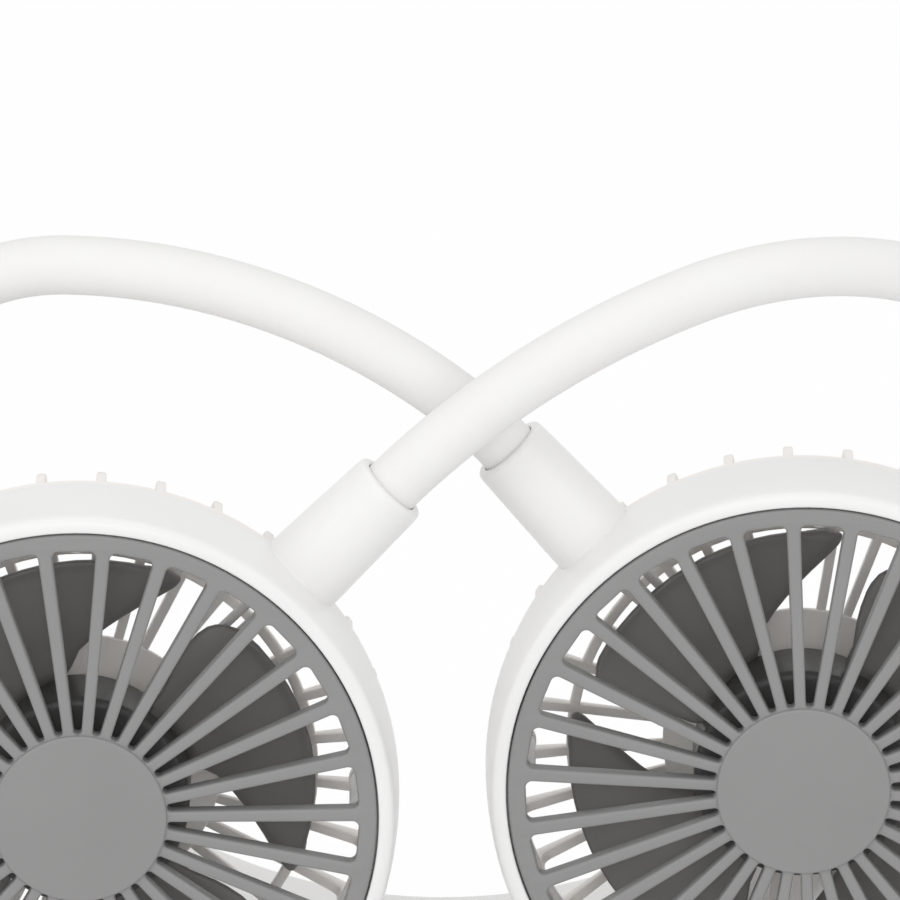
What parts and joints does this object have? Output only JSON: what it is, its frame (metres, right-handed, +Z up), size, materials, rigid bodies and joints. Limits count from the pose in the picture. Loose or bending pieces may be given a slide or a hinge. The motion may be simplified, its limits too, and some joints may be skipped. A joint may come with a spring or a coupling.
{
  "type": "electric neck fan",
  "caption": "Neck-worn fan: round grilled fan heads on bendable gooseneck arms, crossing above and joined by a U-shaped battery band.",
  "frame": {"origin": "centre of the flat under the band, on the ground plane", "axes": "+Z up, fan faces towards -Y, +X to the right as seen from the front"},
  "size_m": [0.2058, 0.0702, 0.1314],
  "materials": {
    "casing_white": "satin white ABS",
    "sheath_silicone": "smooth white silicone",
    "grille_grey": "satin mid grey ABS",
    "impeller_charcoal": "dark charcoal, slightly glossy",
    "lead_insulation": "white PVC",
    "steel": "plain",
    "motor_can": "plated",
    "cell_wrap": "shrink wrap",
    "board_green": "solder mask",
    "switch_black": "satin",
    "button_grey": "satin",
    "light_lens": "milky lens",
    "port_shell": "plain"
  },
  "bodies": {
    "neckband": {"band_outer_shell": "casing_white", "band_inner_shell": "casing_white", "left_battery_cell": "cell_wrap", "right_battery_cell": "cell_wrap", "circuit_board": "board_green", "power_switch": "switch_black", "indicator_light": "light_lens", "usb_port": "port_shell", "band_leads": "lead_insulation", "band_screws": "steel", "left_arm_end_cap": "casing_white", "left_arm_boot": "sheath_silicone", "left_lower_flex": "sheath_silicone", "left_lower_spine": "steel", "left_lower_leads": "lead_insulation", "right_arm_end_cap": "casing_white", "right_arm_boot": "sheath_silicone", "right_lower_flex": "sheath_silicone", "right_lower_spine": "steel", "right_lower_leads": "lead_insulation"},
    "left_arm": {"left_arm_sheath": "sheath_silicone", "left_arm_spine": "steel", "left_arm_leads": "lead_insulation"},
    "left_head": {"left_front_grille": "grille_grey", "left_front_casing": "casing_white", "left_rear_shell": "casing_white", "left_motor": "motor_can", "left_arm_socket": "casing_white", "left_casing_screws": "steel", "left_head_leads": "lead_insulation", "left_upper_flex": "sheath_silicone", "left_upper_spine": "steel", "left_upper_leads": "lead_insulation"},
    "left_impeller": {"left_impeller": "impeller_charcoal", "left_motor_shaft": "steel"},
    "right_arm": {"right_arm_sheath": "sheath_silicone", "right_arm_spine": "steel", "right_arm_leads": "lead_insulation"},
    "right_head": {"right_front_grille": "grille_grey", "right_front_casing": "casing_white", "right_rear_shell": "casing_white", "right_motor": "motor_can", "right_arm_socket": "casing_white", "right_casing_screws": "steel", "right_head_leads": "lead_insulation", "right_upper_flex": "sheath_silicone", "right_upper_spine": "steel", "right_upper_leads": "lead_insulation"},
    "right_impeller": {"right_impeller": "impeller_charcoal", "right_motor_shaft": "steel"},
    "power_button": {"power_button": "button_grey"}
  },
  "joints": [
    {"name": "left_arm_bend", "type": "hinge", "parent": "neckband", "child": "left_arm", "pos_m": [0.0909, -0.0065, 0.0945], "axis": [0, 1, 0], "range_deg": [-3, 12], "deforming": ["left_lower_flex", "left_lower_spine", "left_lower_leads"]},
    {"name": "right_arm_bend", "type": "hinge", "parent": "neckband", "child": "right_arm", "pos_m": [-0.0876, -0.0042, 0.0925], "axis": [0, -1, 0], "range_deg": [-10, 2], "deforming": ["right_lower_flex", "right_lower_spine", "right_lower_leads"]},
    {"name": "left_head_tilt", "type": "hinge", "parent": "left_arm", "child": "left_head", "pos_m": [-0.0027, -0.0419, 0.101], "axis": [-1, 0, 0], "range_deg": [-10, 30], "deforming": ["left_upper_flex", "left_upper_spine", "left_upper_leads"]},
    {"name": "right_head_tilt", "type": "hinge", "parent": "right_arm", "child": "right_head", "pos_m": [0.0051, -0.0292, 0.1033], "axis": [-1, 0, 0], "range_deg": [-3, 15], "deforming": ["right_upper_flex", "right_upper_spine", "right_upper_leads"]},
    {"name": "left_fan_spin", "type": "hinge", "parent": "left_head", "child": "left_impeller", "pos_m": [-0.05475, -0.039, 0.0482], "axis": [0, 1, 0], "continuous": true},
    {"name": "right_fan_spin", "type": "hinge", "parent": "right_head", "child": "right_impeller", "pos_m": [0.05475, -0.0263, 0.0482], "axis": [0, 1, 0], "continuous": true},
    {"name": "power_button_press", "type": "slide", "parent": "neckband", "child": "power_button", "axis": [0, -1, 0], "range_m": [0, 0.0004], "stiffness_N_per_m": 300, "springref_m": -0.001}
  ]
}
